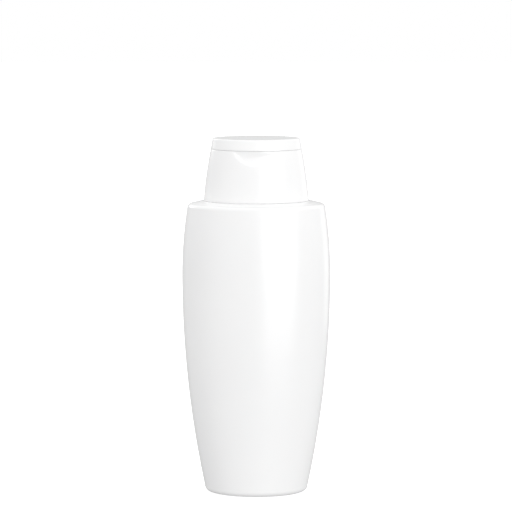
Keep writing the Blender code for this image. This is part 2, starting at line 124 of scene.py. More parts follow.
def base_sections(lift, inset):
    """The push-up, the standing ring and the base edge, from the middle outwards."""
    half_width, half_depth = body_half_sizes(BASE_EDGE)
    flat_width, flat_depth = half_width - BASE_EDGE, half_depth - BASE_EDGE
    dish_width, dish_depth = flat_width - STANDING_RING, flat_depth - STANDING_RING
    sections = []
    for share in spread(0.04, 1.0, 22):
        rise = PUSH_UP * (1 - share ** 2) ** PUSH_UP_FALL
        sections.append((dish_width * share, dish_depth * share, rise + lift))
    for i in range(10):
        turn = TURN / 4 * i / 10
        out = (BASE_EDGE - inset) * math.sin(turn)
        sections.append((flat_width + out, flat_depth + out,
                         lift + (BASE_EDGE - inset) * (1 - math.cos(turn))))
    return sections


def side_sections(inset):
    """Up the oval side, fullest at the waist, from the base edge to the shoulder."""
    heights = spread(BASE_EDGE, WAIST_HEIGHT, 56) + spread(WAIST_HEIGHT, BODY_HEIGHT, 20)[1:]
    sections = []
    for height in heights:
        half_width, half_depth = body_half_sizes(height)
        sections.append((half_width - inset, half_depth - inset, height))
    return sections


def shoulder_sections(inset, seat_width, seat_depth):
    """Round the shoulder's edge and in under the cap to the foot of the neck."""
    half_width, half_depth = body_half_sizes(BODY_HEIGHT)
    radius = SHOULDER_EDGE - inset
    sections = []
    for i in range(1, 11):
        turn = TURN / 4 * i / 10
        fall = SHOULDER_EDGE - radius * math.cos(turn)
        sections.append((half_width - fall, half_depth - fall,
                         BODY_HEIGHT + radius * math.sin(turn)))
    edge_width, edge_depth, edge_height = sections[-1]
    for share in spread(0, 1, 8)[1:]:
        rise = SHOULDER_RISE * (share + 0.35 * share * (1 - share))
        sections.append((edge_width + (seat_width - edge_width) * share,
                         edge_depth + (seat_depth - edge_depth) * share, edge_height + rise))
    inner_width = seat_width - CAP_WALL - TOUCH_GAP
    inner_depth = seat_depth - CAP_WALL - TOUCH_GAP
    root = NECK_RADIUS + NECK_WALL / 2 - inset
    for share in spread(0, 1, 6):
        rise = NECK_ROOT_RISE * share ** 1.5
        sections.append((inner_width + (root - inner_width) * share,
                         inner_depth + (root - inner_depth) * share, CAP_SEAT - inset + rise))
    return sections


def neck_sections():
    """Up the outside of the neck, over the snap bead and the lip, and down the bore."""
    root = CAP_SEAT + NECK_ROOT_RISE
    bead = CAP_SEAT + BEAD_LEVEL
    lip = bottle_high.z
    bore = NECK_RADIUS - NECK_WALL
    profile = [(NECK_RADIUS + 0.2 * MM, root + 0.3 * MM), (NECK_RADIUS, root + 1.0 * MM)]
    profile += [(NECK_RADIUS, height) for height in spread(root + 2 * MM, bead - 0.3 * MM, 4)]
    profile += [(NECK_RADIUS + 0.08 * MM, bead), (NECK_RADIUS + BEAD - 0.12 * MM, bead + 0.06 * MM),
                (NECK_RADIUS + BEAD, bead + 0.25 * MM), (NECK_RADIUS + BEAD, bead + BEAD_HEIGHT / 3)]
    profile += [(NECK_RADIUS + 0.1 * MM, bead + BEAD_HEIGHT - 0.1 * MM),
                (NECK_RADIUS, bead + BEAD_HEIGHT + 0.3 * MM)]
    profile += [(NECK_RADIUS, lip - 0.6 * MM), (NECK_RADIUS - 0.1 * MM, lip - 0.28 * MM),
                (NECK_RADIUS - 0.35 * MM, lip - 0.06 * MM), (NECK_RADIUS - 0.6 * MM, lip),
                (bore + 0.35 * MM, lip), (bore + 0.1 * MM, lip - 0.08 * MM), (bore, lip - 0.35 * MM)]
    profile += [(bore, height) for height in spread(lip - 2 * MM, root + 1.2 * MM, 5)]
    profile += [(bore + 0.1 * MM, root + 0.2 * MM)]
    return [(radius, radius, height) for radius, height in profile]


def new_piece(name, bm):
    """Turns the faces outwards and puts the finished mesh in the scene."""
    bmesh.ops.recalc_face_normals(bm, faces=bm.faces)
    mesh = bpy.data.meshes.new(name)
    bm.to_mesh(mesh)
    bm.free()
    obj = bpy.data.objects.new(name, mesh)
    bpy.context.scene.collection.objects.link(obj)
    return obj


def oval_skin(name, sections, turns, closed=False):
    """A skin through oval rings, either capped at both ends or run round into itself."""
    bm = bmesh.new()
    rings = []
    for half_width, half_depth, height in sections:
        rings.append([bm.verts.new((half_width * math.cos(turn), half_depth * math.sin(turn), height))
                      for turn in turns])
    pairs = list(zip(rings, rings[1:])) + ([(rings[-1], rings[0])] if closed else [])
    count = len(turns)
    for lower, upper in pairs:
        for i in range(count):
            j = (i + 1) % count
            bm.faces.new((lower[i], lower[j], upper[j], upper[i]))
    if not closed:
        for ring, section in ((rings[0], sections[0]), (rings[-1], sections[-1])):
            middle = bm.verts.new((0, 0, section[2]))
            for i in range(count):
                bm.faces.new((ring[i], ring[(i + 1) % count], middle))
    return new_piece(name, bm)


def bar(name, low, high, rounding=0.0):
    """A straight-sided lug, rib or cutter between two corners, with its edges rounded if asked."""
    size = Vector(high) - Vector(low)
    middle = (Vector(high) + Vector(low)) / 2
    bm = bmesh.new()
    place = Matrix.Translation(middle) @ Matrix.Diagonal((*size, 1))
    bmesh.ops.create_cube(bm, size=1.0, matrix=place)
    if rounding:
        bmesh.ops.bevel(bm, geom=list(bm.edges), offset=rounding, segments=3, profile=0.5, affect="EDGES")
    return new_piece(name, bm)


WELD_REACH = 0.01 * MM         # points closer than this become one


def weld_on(obj, other, operation="UNION"):
    """Joins another shape to this one, or cuts it away, and removes the other shape."""
    step = obj.modifiers.new(operation.lower(), "BOOLEAN")
    step.operation = operation
    step.object = other
    step.solver = "MANIFOLD"
    graph = bpy.context.evaluated_depsgraph_get()
    mesh = bpy.data.meshes.new_from_object(obj.evaluated_get(graph))
    bm = bmesh.new()
    bm.from_mesh(mesh)
    bmesh.ops.remove_doubles(bm, verts=bm.verts, dist=WELD_REACH)
    bm.to_mesh(mesh)
    bm.free()
    obj.modifiers.clear()
    old = obj.data
    obj.data = mesh
    bpy.data.meshes.remove(old)
    spent = other.data
    bpy.data.objects.remove(other)
    bpy.data.meshes.remove(spent)


def smooth_piece(obj, material, edge_angle=28):
    """Gives the piece its plastic, smooth except where it turns more sharply than the angle."""
    obj.data.materials.clear()
    obj.data.materials.append(material)
    obj.data.shade_smooth()
    obj.data.set_sharp_from_angle(angle=math.radians(edge_angle))


def moulded_plastic(name, pale, shade, cloud_size, gloss, grain_size, grain_depth, milkiness):
    """White plastic: faint clouds where the wall varies, uneven gloss and the mould's fine grain."""
    material = bpy.data.materials.new(name)
    material.use_nodes = True
    nodes, links = material.node_tree.nodes, material.node_tree.links
    shader = nodes["Principled BSDF"]
    shader.inputs["IOR"].default_value = 1.5
    shader.inputs["Subsurface Weight"].default_value = milkiness
    shader.inputs["Subsurface Radius"].default_value = (1.0, 0.95, 0.9)
    shader.inputs["Subsurface Scale"].default_value = 0.0012
    place = nodes.new("ShaderNodeTexCoord")
    clouds = nodes.new("ShaderNodeTexNoise")
    clouds.inputs["Scale"].default_value = 1 / cloud_size
    clouds.inputs["Detail"].default_value = 3.0
    links.new(place.outputs["Object"], clouds.inputs["Vector"])
    colour = nodes.new("ShaderNodeValToRGB")
    colour.color_ramp.elements[0].position = 0.3
    colour.color_ramp.elements[0].color = (*shade, 1)
    colour.color_ramp.elements[1].position = 0.7
    colour.color_ramp.elements[1].color = (*pale, 1)
    links.new(clouds.outputs["Fac"], colour.inputs["Fac"])
    links.new(colour.outputs["Color"], shader.inputs["Base Color"])
    haze = nodes.new("ShaderNodeTexNoise")
    haze.inputs["Scale"].default_value = 1 / (cloud_size * 0.3)
    haze.inputs["Detail"].default_value = 4.0
    links.new(place.outputs["Object"], haze.inputs["Vector"])
    sheen = nodes.new("ShaderNodeMapRange")
    sheen.inputs["To Min"].default_value = gloss[0]
    sheen.inputs["To Max"].default_value = gloss[1]
    links.new(haze.outputs["Fac"], sheen.inputs["Value"])
    links.new(sheen.outputs["Result"], shader.inputs["Roughness"])
    grain = nodes.new("ShaderNodeTexNoise")
    grain.inputs["Scale"].default_value = 1 / grain_size
    grain.inputs["Detail"].default_value = 2.0
    links.new(place.outputs["Object"], grain.inputs["Vector"])
    bump = nodes.new("ShaderNodeBump")
    bump.inputs["Strength"].default_value = 0.35
    bump.inputs["Distance"].default_value = grain_depth
    links.new(grain.outputs["Fac"], bump.inputs["Height"])
    links.new(bump.outputs["Normal"], shader.inputs["Normal"])
    return material


seam_turns = [math.asin(step * MM / BODY_HALF_DEPTH) for step in SEAM_STEPS]
even_turns = [TURN * i / BOTTLE_SEGMENTS for i in range(BOTTLE_SEGMENTS)]
bottle_turns = sorted(
    [t for t in even_turns if abs(math.sin(t)) > 0.03] + [t % TURN for t in seam_turns]
    + [math.pi + t for t in seam_turns])

cap_foot_sizes = (cap_high.x, cap_high.y)
outer = base_sections(0, 0) + side_sections(0) + shoulder_sections(0, *cap_foot_sizes)
inner_seat = (cap_foot_sizes[0] - BODY_WALL, cap_foot_sizes[1] - BODY_WALL)
inner = (base_sections(BODY_WALL, BODY_WALL) + side_sections(BODY_WALL)[1:]
         + shoulder_sections(BODY_WALL, *inner_seat))
bottle = oval_skin("shampoo_bottle_body", outer + neck_sections() + inner[::-1], bottle_turns)

# The seam's ridge: every outer point on the mould's parting plane moves out a little.
bottle.data.update()
for vertex in bottle.data.vertices[:len(outer) * len(bottle_turns)]:
    on_plane = abs(vertex.co.y) < SEAM_HALF_WIDTH / 2
    if on_plane and vertex.co.z > PUSH_UP / 2 and abs(vertex.co.x) > NECK_RADIUS:
        vertex.co.x += math.copysign(SEAM_HEIGHT, vertex.co.x)
for side in (-1, 1):
    ends = sorted((side * (NECK_RADIUS - NECK_WALL / 2), side * (NECK_RADIUS + LUG_LENGTH)))
    lug = bar("lug", (ends[0], -LUG_WIDTH / 2, CAP_SEAT - BODY_WALL / 4),
              (ends[1], LUG_WIDTH / 2, CAP_SEAT + LUG_HEIGHT), LUG_ROUNDING)
    weld_on(bottle, lug)
pinch_off = bar("pinch_off", (-PINCH_HALF_LENGTH, -PINCH_HALF_WIDTH, PUSH_UP - PINCH_ROOT),
                (PINCH_HALF_LENGTH, PINCH_HALF_WIDTH, PUSH_UP + PINCH_HEIGHT), PINCH_ROUNDING)
for vertex in pinch_off.data.vertices:
    share = abs(vertex.co.x) / PINCH_FALL_REACH / MM
    vertex.co.z -= PUSH_UP * (1 - (1 - share ** 2) ** PUSH_UP_FALL)
weld_on(bottle, pinch_off)

white_hdpe = moulded_plastic(
    "white_blown_hdpe", pale=(0.885, 0.885, 0.885), shade=(0.865, 0.865, 0.867), cloud_size=45 * MM,
    gloss=(0.2, 0.27), grain_size=0.9 * MM, grain_depth=0.004 * MM, milkiness=0.08)
smooth_piece(bottle, white_hdpe)
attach(bottle, "bottle_and_cap")
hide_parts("bottle")


# Cap body: the oval outer skirt, injection moulded in white polypropylene with everything under the
# lid: deck, spout, collar, ribs, and the round inner skirt whose ring snaps under the neck's bead.
# A thumb scoop is pressed into its front, just below the lid.

PARTING_LINE = 0.08 * MM       # groove that shows between lid and cap body
FOOT_LINE = 0.05 * MM          # and between the cap's foot and the shoulder
lid_low, lid_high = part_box("lid")
PARTING = lid_low.z - TOUCH_GAP / 2
RIM = PARTING - PARTING_LINE / 2
CAP_FOOT = CAP_SEAT + FOOT_LINE
CAP_TOP_HALF_WIDTH = lid_high.x
CAP_TOP_HALF_DEPTH = -lid_low.y
CAP_BULGE = 0.32 * MM
DECK_TOP = RIM - 1.0 * MM
DECK_UNDERSIDE = DECK_TOP - 1.2 * MM
SPOUT_TIP = cap_high.z
ORIFICE_RADIUS = 3.2 * MM
SPOUT_WALL = 1.7 * MM
SPOUT_ROUNDING = 0.6 * MM      # outside of the spout's tip
ORIFICE_ROUNDING = 0.35 * MM
INNER_SKIRT_BORE = NECK_RADIUS + BEAD + TOUCH_GAP
INNER_SKIRT_WALL = 1.1 * MM
INNER_SKIRT_LIFT = 1.8 * MM
SEAL_RADIUS = NECK_RADIUS - NECK_WALL - TOUCH_GAP
SEAL_WALL = 1.0 * MM
SEAL_DEPTH = 3.4 * MM
COLLAR_WALL = 0.9 * MM         # the collar stands on the deck and keeps the lid in line
COLLAR_HEIGHT = 2.0 * MM
COLLAR_HALF_GAP = 13.0 * MM    # it is left out in front and behind
RIB_THICKNESS = 1.0 * MM
RIB_OFFSET = 5.2 * MM
RIB_HEIGHT = 9.6 * MM
SCOOP_HALF_WIDTH = 11.6 * MM
SCOOP_HEIGHT = 7.3 * MM
SCOOP_DEPTH = 1.3 * MM
SCOOP_LEDGE = 1.7 * MM         # width of the ledge round the scoop
SCOOP_LEDGE_SHARE = 0.5        # share of the depth that the ledge takes
SCOOP_LIP_SHARE = 0.4          # share of the depth that is left right under the lid
SCOOP_LIP_HEIGHT = 3.5 * MM    # how far below the lid the full depth begins
RIM_ROUNDING = 0.14 * MM
CAP_SEGMENTS = 352
OVERLAP = 0.4 * MM
CUT_MARGIN = 1.5 * MM
LID_TAPER = 0.85 * MM
LAND_HEIGHT = 3.3 * MM
LAND_DEPTH = 0.85 * MM
LAND_CUT_REACH = 2.05 * MM     # how far the land's cutter runs out behind the wall
WINDOW_HALF_WIDTH = 4.2 * MM
WINDOW_REACH = 2.8 * MM
WINDOW_MARGIN = 0.185 * MM     # how far the window's cutter passes the wall's inner face


def cap_half_sizes(height):
    """The outer skirt widens from the rim to its foot, with a slight bulge between."""
    share = (RIM - height) / (RIM - CAP_FOOT)
    bow = 4 * CAP_BULGE * share * (1 - share)
    return (CAP_TOP_HALF_WIDTH + (cap_high.x - CAP_TOP_HALF_WIDTH) * share + bow,
            CAP_TOP_HALF_DEPTH + (-cap_low.y - CAP_TOP_HALF_DEPTH) * share + bow)


def rise_smoothly(share):
    """From 0 to 1 with no corner at either end."""
    share = min(max(share, 0.0), 1.0)
    return share * share * (3 - 2 * share)


def scoop_depth(x, z):
    """How far the thumb scoop lies behind the plain wall at this place."""
    radius = (SCOOP_HALF_WIDTH ** 2 + SCOOP_HEIGHT ** 2) / (2 * SCOOP_HEIGHT)
    inside = radius - math.hypot(x, z - (RIM - SCOOP_HEIGHT + radius))
    if inside <= 0:
        return 0.0
    ledge = SCOOP_LEDGE_SHARE * rise_smoothly(inside / SCOOP_LEDGE)
    bowl = (1 - SCOOP_LEDGE_SHARE) * math.sin(TURN / 4 * min(inside / SCOOP_HEIGHT, 1.0))
    lip = SCOOP_LIP_SHARE + (1 - SCOOP_LIP_SHARE) * rise_smoothly((RIM - z) / SCOOP_LIP_HEIGHT)
    return SCOOP_DEPTH * (ledge + bowl) * lip


def press_in_scoop(obj):
    """Pushes the front of an oval shape in, square to its wall, by the scoop's depth."""
    for vertex in obj.data.vertices:
        depth = scoop_depth(vertex.co.x, vertex.co.z) if vertex.co.y < 0 else 0.0
        if depth:
            half_width, half_depth = cap_half_sizes(vertex.co.z)
            normal = Vector((vertex.co.x / half_width ** 2, vertex.co.y / half_depth ** 2, 0)).normalized()
            vertex.co -= normal * depth


def turned(name, profile, steps=96):
    """A ring turned round Z from a closed profile of (radius, height)."""
    return oval_skin(name, [(radius, radius, height) for radius, height in profile],
                     [TURN * (i + 0.37) / steps for i in range(steps)], closed=True)


cap_levels = spread(CAP_FOOT, RIM - 9 * MM, 12) + spread(RIM - 9 * MM, RIM, 26)[1:]
cap_sections = []
for height in [CAP_FOOT + RIM_ROUNDING] + cap_levels[1:-1] + [RIM - RIM_ROUNDING]:
    cap_sections.append((*cap_half_sizes(height), height))
for inset, drop in ((0.3, 0.3), (1.0, 0.0)):
    half_width, half_depth = cap_half_sizes(RIM)
    cap_sections.append((half_width - inset * RIM_ROUNDING, half_depth - inset * RIM_ROUNDING,
                         RIM - drop * RIM_ROUNDING))
for inset, drop in ((1.0, 0.0), (0.3, 0.3)):
    cap_sections.append((half_width - CAP_WALL + inset * RIM_ROUNDING,
                         half_depth - CAP_WALL + inset * RIM_ROUNDING, RIM - drop * RIM_ROUNDING))
for height in [RIM - RIM_ROUNDING] + cap_levels[-2:0:-1] + [CAP_FOOT + RIM_ROUNDING]:
    half_width, half_depth = cap_half_sizes(height)
    cap_sections.append((half_width - CAP_WALL, half_depth - CAP_WALL, height))
half_width, half_depth = cap_half_sizes(CAP_FOOT)
for inset, drop in ((CAP_WALL - 0.3 * RIM_ROUNDING, 0.3), (CAP_WALL - RIM_ROUNDING, 0.0),
                    (RIM_ROUNDING, 0.0), (0.3 * RIM_ROUNDING, 0.3)):
    cap_sections.append((half_width - inset, half_depth - inset, CAP_FOOT + drop * RIM_ROUNDING))
cap_body = oval_skin("flip_top_cap_body", cap_sections,
                     [TURN * i / CAP_SEGMENTS for i in range(CAP_SEGMENTS)], closed=True)
press_in_scoop(cap_body)

deck_sections = []
for height in (DECK_UNDERSIDE, DECK_TOP):
    half_width, half_depth = cap_half_sizes(height)
    deck_sections.append((half_width - CAP_WALL / 2, half_depth - CAP_WALL / 2, height))
deck = oval_skin("deck", deck_sections, [TURN * (i + 0.5) / CAP_SEGMENTS for i in range(CAP_SEGMENTS)])
press_in_scoop(deck)
weld_on(cap_body, deck)

ring_high = CAP_SEAT + BEAD_LEVEL - TOUCH_GAP
ring_low = ring_high - BEAD_HEIGHT
skirt_foot = cap_low.z + INNER_SKIRT_LIFT
skirt_outer = INNER_SKIRT_BORE + INNER_SKIRT_WALL
grip = NECK_RADIUS + TOUCH_GAP
weld_on(cap_body, turned("inner_skirt", [
    (skirt_outer, DECK_UNDERSIDE + OVERLAP), (skirt_outer, skirt_foot + 0.2 * MM),
    (skirt_outer - 0.2 * MM, skirt_foot), (INNER_SKIRT_BORE + 0.2 * MM, skirt_foot),
    (INNER_SKIRT_BORE, skirt_foot + 0.2 * MM), (INNER_SKIRT_BORE, ring_low - BEAD),
    (grip + 0.1 * MM, ring_low - 0.1 * MM), (grip, ring_low + 0.1 * MM), (grip, ring_high - BEAD / 2),
    (grip + 0.1 * MM, ring_high - BEAD / 4), (INNER_SKIRT_BORE, ring_high),
    (INNER_SKIRT_BORE, DECK_UNDERSIDE + OVERLAP)]))
seal_foot = DECK_UNDERSIDE - SEAL_DEPTH
weld_on(cap_body, turned("seal_ring", [
    (SEAL_RADIUS, DECK_UNDERSIDE + OVERLAP), (SEAL_RADIUS, seal_foot + 0.5 * MM),
    (SEAL_RADIUS - 0.2 * MM, seal_foot + 0.1 * MM), (SEAL_RADIUS - 0.4 * MM, seal_foot),
    (SEAL_RADIUS - SEAL_WALL, seal_foot), (SEAL_RADIUS - SEAL_WALL, DECK_UNDERSIDE + OVERLAP)]))
spout_radius = ORIFICE_RADIUS + SPOUT_WALL
orifice = oval_skin("orifice", [(ORIFICE_RADIUS, ORIFICE_RADIUS, DECK_UNDERSIDE - CUT_MARGIN),
                                (ORIFICE_RADIUS, ORIFICE_RADIUS, DECK_TOP + CUT_MARGIN)],
                    [TURN * i / 96 for i in range(96)])
weld_on(cap_body, orifice, "DIFFERENCE")
spout_profile = [(spout_radius + 0.5 * MM, DECK_TOP - OVERLAP), (spout_radius + 0.5 * MM, DECK_TOP),
                 (spout_radius + 0.15 * MM, DECK_TOP + 0.15 * MM), (spout_radius, DECK_TOP + 0.5 * MM)]
spout_profile += [(spout_radius, SPOUT_TIP - SPOUT_ROUNDING)]
for i in range(1, 7):
    turn = TURN / 4 * i / 6
    spout_profile.append((spout_radius - SPOUT_ROUNDING * (1 - math.cos(turn)),
                          SPOUT_TIP - SPOUT_ROUNDING * (1 - math.sin(turn))))
for i in range(7):
    turn = TURN / 4 * i / 6
    spout_profile.append((ORIFICE_RADIUS + ORIFICE_ROUNDING * (1 - math.sin(turn)),
                          SPOUT_TIP - ORIFICE_ROUNDING * (1 - math.cos(turn))))
spout_profile += [(ORIFICE_RADIUS, DECK_UNDERSIDE + OVERLAP),
                  (ORIFICE_RADIUS + 1 * MM, DECK_UNDERSIDE + OVERLAP),
                  (ORIFICE_RADIUS + 1 * MM, DECK_TOP - OVERLAP)]
weld_on(cap_body, turned("spout", spout_profile))

rim_width, rim_depth = cap_half_sizes(RIM)
collar_inset = CAP_WALL + TOUCH_GAP + LID_TAPER
collar_sections = []
for inset, height in ((0, DECK_TOP - OVERLAP), (0, DECK_TOP + COLLAR_HEIGHT - 0.2 * MM),
                      (0.07 * MM, DECK_TOP + COLLAR_HEIGHT - 0.07 * MM), (0.2 * MM, DECK_TOP + COLLAR_HEIGHT),
                      (COLLAR_WALL - 0.2 * MM, DECK_TOP + COLLAR_HEIGHT),
                      (COLLAR_WALL - 0.07 * MM, DECK_TOP + COLLAR_HEIGHT - 0.07 * MM),
                      (COLLAR_WALL, DECK_TOP + COLLAR_HEIGHT - 0.2 * MM), (COLLAR_WALL, DECK_TOP - OVERLAP)):
    collar_sections.append((rim_width - collar_inset - inset, rim_depth - collar_inset - inset, height))
collar = oval_skin("collar", collar_sections, [TURN * (i + 0.5) / 160 for i in range(160)], closed=True)
weld_on(collar, bar("collar_gap", (-COLLAR_HALF_GAP, -20 * MM, DECK_TOP - CUT_MARGIN),
                    (COLLAR_HALF_GAP, 20 * MM, DECK_TOP + COLLAR_HEIGHT + CUT_MARGIN)), "DIFFERENCE")
weld_on(cap_body, collar)

under_width, under_depth = cap_half_sizes(DECK_UNDERSIDE)
rib_start = math.sqrt(skirt_outer ** 2 - RIB_OFFSET ** 2) - INNER_SKIRT_WALL / 2
rib_end = under_width * math.sqrt(1 - (RIB_OFFSET / under_depth) ** 2) - CAP_WALL / 2
for side in (-1, 1):
    ends = sorted((side * rib_start, side * rib_end))
    for row in (-1, 1):
        middle = row * RIB_OFFSET
        weld_on(cap_body, bar("rib", (ends[0], middle - RIB_THICKNESS / 2, DECK_UNDERSIDE - RIB_HEIGHT),
                              (ends[1], middle + RIB_THICKNESS / 2, DECK_UNDERSIDE + OVERLAP)))
for side in (-1, 1):
    ends = sorted((side * NECK_RADIUS, side * (NECK_RADIUS + LUG_LENGTH + TOUCH_GAP)))
    half = LUG_WIDTH / 2 + TOUCH_GAP
    weld_on(cap_body, bar("lug_notch", (ends[0], -half, skirt_foot - CUT_MARGIN),
                          (ends[1], half, CAP_SEAT + LUG_HEIGHT + TOUCH_GAP)), "DIFFERENCE")


def land_cutter(name, low_face, high_face, low, high):
    """A wedge behind the rear wall that leaves the flat land which the hinge films stand on."""
    half_width = CAP_TOP_HALF_WIDTH / 2
    back = CAP_TOP_HALF_DEPTH + LAND_CUT_REACH + CUT_MARGIN
    cutter = bar(name, (-half_width, low_face, low), (half_width, back, high))
    for vertex in cutter.data.vertices:
        if vertex.co.z > (low + high) / 2 and vertex.co.y < back - CUT_MARGIN / 2:
            vertex.co.y = high_face
    return cutter


land_face = CAP_TOP_HALF_DEPTH - LAND_DEPTH
land_foot = RIM - LAND_HEIGHT
lean = cap_half_sizes(land_foot)[1] - cap_half_sizes(RIM)[1]
weld_on(cap_body, land_cutter("cap_land", land_face + lean, land_face, land_foot, PARTING), "DIFFERENCE")
window_floor = CAP_TOP_HALF_DEPTH - CAP_WALL - WINDOW_MARGIN
weld_on(cap_body, bar("cap_window", (-WINDOW_HALF_WIDTH, window_floor, RIM - WINDOW_REACH),
                      (WINDOW_HALF_WIDTH, CAP_TOP_HALF_DEPTH + CUT_MARGIN, RIM + CUT_MARGIN)), "DIFFERENCE")

white_pp = moulded_plastic(
    "white_moulded_polypropylene", pale=(0.9, 0.9, 0.9), shade=(0.885, 0.885, 0.887), cloud_size=18 * MM,
    gloss=(0.17, 0.24), grain_size=0.6 * MM, grain_depth=0.0025 * MM, milkiness=0.06)
smooth_piece(cap_body, white_pp)
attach(cap_body, "bottle_and_cap")
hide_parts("cap_body")


# Lid: a shallow oval shell moulded in one with the cap body, with a ring inside that plugs the
# spout. It swings up and back on the hinge films behind it.

LID_FOOT = PARTING + PARTING_LINE / 2
LID_WALL = 1.2 * MM
LID_EDGE = 0.8 * MM
PLUG_RADIUS = ORIFICE_RADIUS - 0.3 * MM
PLUG_WALL = 0.95 * MM
PLUG_REACH = 1.3 * MM


def lid_outline(height, wall):
    """The lid's oval at this height, a wall's thickness in, narrowing a little upwards."""
    inset = wall + LID_TAPER * (height - LID_FOOT) / (lid_high.z - LID_FOOT)
    return CAP_TOP_HALF_WIDTH - inset, CAP_TOP_HALF_DEPTH - inset


def lid_sections(foot, top, wall, edge):
    """The outline from foot to top and round the top edge, with rings across the flat top."""
    sections = [(*lid_outline(height, wall), height) for height in spread(foot, top - edge, 8)]
    side_width, side_depth = lid_outline(top - edge, wall)
    for i in range(1, 11):
        turn = TURN / 4 * i / 10
        fall = edge * (1 - math.cos(turn))
        sections.append((side_width - fall, side_depth - fall, top - edge * (1 - math.sin(turn))))
    flat_width, flat_depth, _ = sections[-1]
    for share in (0.97, 0.85, 0.6, 0.3, 0.08):
        sections.append((flat_width * share, flat_depth * share, top))
    return sections


foot_width, foot_depth = lid_outline(LID_FOOT, 0)
lid_foot = [(foot_width - LID_WALL + RIM_ROUNDING, foot_depth - LID_WALL + RIM_ROUNDING, LID_FOOT),
            (foot_width - RIM_ROUNDING, foot_depth - RIM_ROUNDING, LID_FOOT),
            (foot_width - 0.3 * RIM_ROUNDING, foot_depth - 0.3 * RIM_ROUNDING, LID_FOOT + 0.3 * RIM_ROUNDING)]
lid_inside = lid_sections(LID_FOOT + RIM_ROUNDING, lid_high.z - LID_WALL, LID_WALL, LID_EDGE / 2)
lid_outside = lid_sections(LID_FOOT + RIM_ROUNDING, lid_high.z, 0, LID_EDGE)
lid = oval_skin("flip_top_lid", lid_inside[::-1] + lid_foot + lid_outside,
                [TURN * i / 256 for i in range(256)])
plug_foot = SPOUT_TIP - PLUG_REACH
weld_on(lid, turned("plug_ring", [
    (PLUG_RADIUS, lid_high.z - LID_WALL + OVERLAP), (PLUG_RADIUS, plug_foot + 0.4 * MM),
    (PLUG_RADIUS - 0.12 * MM, plug_foot + 0.12 * MM), (PLUG_RADIUS - 0.35 * MM, plug_foot),
    (PLUG_RADIUS - PLUG_WALL + 0.1 * MM, plug_foot), (PLUG_RADIUS - PLUG_WALL, plug_foot + 0.1 * MM),
    (PLUG_RADIUS - PLUG_WALL, lid_high.z - LID_WALL + OVERLAP)]))
lid_lean = LID_TAPER * LAND_HEIGHT / (lid_high.z - LID_FOOT)
weld_on(lid, land_cutter("lid_land", land_face, land_face - lid_lean, PARTING,
                         LID_FOOT + LAND_HEIGHT), "DIFFERENCE")
window_inside = CAP_TOP_HALF_DEPTH - LID_WALL - CUT_MARGIN
weld_on(lid, bar("lid_window", (-WINDOW_HALF_WIDTH, window_inside, LID_FOOT - CUT_MARGIN),
                 (WINDOW_HALF_WIDTH, CAP_TOP_HALF_DEPTH + CUT_MARGIN, LID_FOOT + WINDOW_REACH)), "DIFFERENCE")
smooth_piece(lid, white_pp)
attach(lid, "lid")
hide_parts("lid")


# Hinge films: two short strips of the same polypropylene, moulded thin across the parting line so
# that they flex for years without cracking. Each runs out of the cap's land and into the lid's.

film_low, film_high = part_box("hinge_film_right")
HINGE_Y = (film_low.y + film_high.y) / 2
HINGE_Z = (film_low.z + film_high.z) / 2
FILM_THICKNESS = film_high.y - film_low.y
FILM_ROOT = 1.5 * MM           # a film has sunk into the land this far above and below the hinge line
FILM_SINK = 0.15 * MM          # how deep its root lies in the land
FILM_STRAIGHT = 0.35           # share of each half that stands free before it bends into the land
FILM_THINNING = 0.12 * MM      # how much thinner it is at the hinge line
FILM_EDGE_ANGLE = 50


def bent_strip(name, path, half_widths, thicknesses, middle_x):
    """A strip swept up a path of (y, z), with its own half width and thickness at each point."""
    bm = bmesh.new()
    loops = []
    for i, (y, z) in enumerate(path):
        before, after = path[max(i - 1, 0)], path[min(i + 1, len(path) - 1)]
        along = Vector((after[0] - before[0], after[1] - before[1])).normalized()
        out = Vector((along.y, -along.x)) * thicknesses[i] / 2
        half = half_widths[i]
        loop = []
        for corner_x, corner_out in ((-1, -1), (-0.5, -1), (0, -1), (0.5, -1), (1, -1),
                                     (1, 1), (0.5, 1), (0, 1), (-0.5, 1), (-1, 1)):
            loop.append(bm.verts.new((middle_x + corner_x * half, y + corner_out * out.x,
                                      z + corner_out * out.y)))
        loops.append(loop)
    count = len(loops[0])
    for lower, upper in zip(loops, loops[1:]):
        for i in range(count):
            j = (i + 1) % count
            bm.faces.new((lower[i], lower[j], upper[j], upper[i]))
    bm.faces.new(loops[0])
    bm.faces.new(loops[-1])
    return new_piece(name, bm)


for side in ("left", "right"):
    low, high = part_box("hinge_film_" + side)
    path, thicknesses = [], []
    for height in spread(-FILM_ROOT, FILM_ROOT, 24):
        share = abs(height) / FILM_ROOT
        bent_share = (share - FILM_STRAIGHT) / (1 - FILM_STRAIGHT)
        sink = (HINGE_Y - land_face + FILM_SINK) * rise_smoothly(bent_share)
        path.append((HINGE_Y - sink, HINGE_Z + height))
        thicknesses.append(FILM_THICKNESS - FILM_THINNING * (1 - rise_smoothly(share / 0.4)))
    film = bent_strip("living_hinge_film_" + side, path, [(high.x - low.x) / 2] * len(path), thicknesses,
                      (low.x + high.x) / 2)
    smooth_piece(film, white_pp, FILM_EDGE_ANGLE)
    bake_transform(film)
    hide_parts("hinge_film_" + side)


# Snap strap: the waisted spring strap in the window between the films. Its ends are moulded into
# cap and lid, and it bows as the lid passes the middle of its swing, which throws the lid open or shut.

